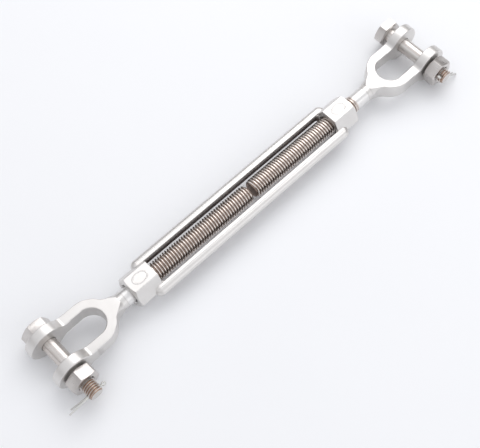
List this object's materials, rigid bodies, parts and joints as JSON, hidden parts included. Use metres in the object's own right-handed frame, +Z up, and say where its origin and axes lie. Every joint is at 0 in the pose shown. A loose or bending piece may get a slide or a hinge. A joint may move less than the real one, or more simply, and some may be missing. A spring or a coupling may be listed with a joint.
{
  "type": "rigging turnbuckle",
  "caption": "Open-body stainless turnbuckle with a forked jaw at each end: turning the body draws both threaded jaws in or out.",
  "frame": {"origin": "on the resting plane, straight below the middle of the overall length and width", "axes": "+X along the thread's axis towards the jaw with the right-hand thread, +Y along the bolts towards their heads, +Z up"},
  "size_m": [0.3435, 0.0608, 0.0252],
  "materials": {
    "forged_stainless": "polished forging with a slightly uneven satin skin",
    "rolled_thread": "bright rolled thread, slightly warm",
    "bright_fastener": "bright cold-formed fastener",
    "cotter_wire": "drawn half-round wire"
  },
  "bodies": {
    "turnbuckle_body": {"turnbuckle_body": "forged_stainless"},
    "left_shank": {"left_shank": "rolled_thread"},
    "left_jaw": {"left_jaw": "forged_stainless"},
    "left_bolt": {"left_bolt": "bright_fastener"},
    "left_nut": {"left_nut": "bright_fastener"},
    "left_cotter": {"left_cotter": "cotter_wire"},
    "right_shank": {"right_shank": "rolled_thread"},
    "right_jaw": {"right_jaw": "forged_stainless"},
    "right_bolt": {"right_bolt": "bright_fastener"},
    "right_nut": {"right_nut": "bright_fastener"},
    "right_cotter": {"right_cotter": "cotter_wire"}
  },
  "joints": [
    {"name": "left_jaw_travel", "type": "slide", "parent": "turnbuckle_body", "child": "left_shank", "axis": [-1, 0, 0], "range_m": [0, 0.08011]},
    {"name": "left_jaw_turn", "type": "hinge", "parent": "left_shank", "child": "left_jaw", "pos_m": [-0.15264, 0.00335, 0.0126], "axis": [1, 0, 0], "range_deg": [0, 14760]},
    {"name": "left_bolt_turn", "type": "hinge", "parent": "left_jaw", "child": "left_bolt", "pos_m": [-0.15264, 0.00335, 0.0126], "axis": [0, 1, 0], "range_deg": [-252, 1080]},
    {"name": "left_nut_travel", "type": "slide", "parent": "left_jaw", "child": "left_nut", "axis": [0, -1, 0], "range_m": [-0.00105, 0.00451]},
    {"name": "left_cotter_pull", "type": "slide", "parent": "left_bolt", "child": "left_cotter", "axis": [1, 0, 0], "range_m": [0, 0.026]},
    {"name": "right_jaw_travel", "type": "slide", "parent": "turnbuckle_body", "child": "right_shank", "axis": [1, 0, 0], "range_m": [0, 0.06839]},
    {"name": "right_jaw_turn", "type": "hinge", "parent": "right_shank", "child": "right_jaw", "pos_m": [0.15666, 0.00335, 0.0126], "axis": [1, 0, 0], "range_deg": [0, 12600]},
    {"name": "right_bolt_turn", "type": "hinge", "parent": "right_jaw", "child": "right_bolt", "pos_m": [0.15666, 0.00335, 0.0126], "axis": [0, 1, 0], "range_deg": [-252, 0]},
    {"name": "right_nut_travel", "type": "slide", "parent": "right_jaw", "child": "right_nut", "axis": [0, -1, 0], "range_m": [-0.00105, 0]},
    {"name": "right_cotter_pull", "type": "slide", "parent": "right_bolt", "child": "right_cotter", "axis": [-0.788, 0, 0.6157], "range_m": [0, 0.026]}
  ],
  "couplings": [
    {"joint": "left_jaw_travel", "follows": "left_jaw_turn", "m_per_rad": 0.00031096},
    {"joint": "left_nut_travel", "follows": "left_bolt_turn", "m_per_rad": 0.00023873},
    {"joint": "right_jaw_travel", "follows": "right_jaw_turn", "m_per_rad": 0.00031096},
    {"joint": "right_nut_travel", "follows": "right_bolt_turn", "m_per_rad": 0.00023873}
  ]
}
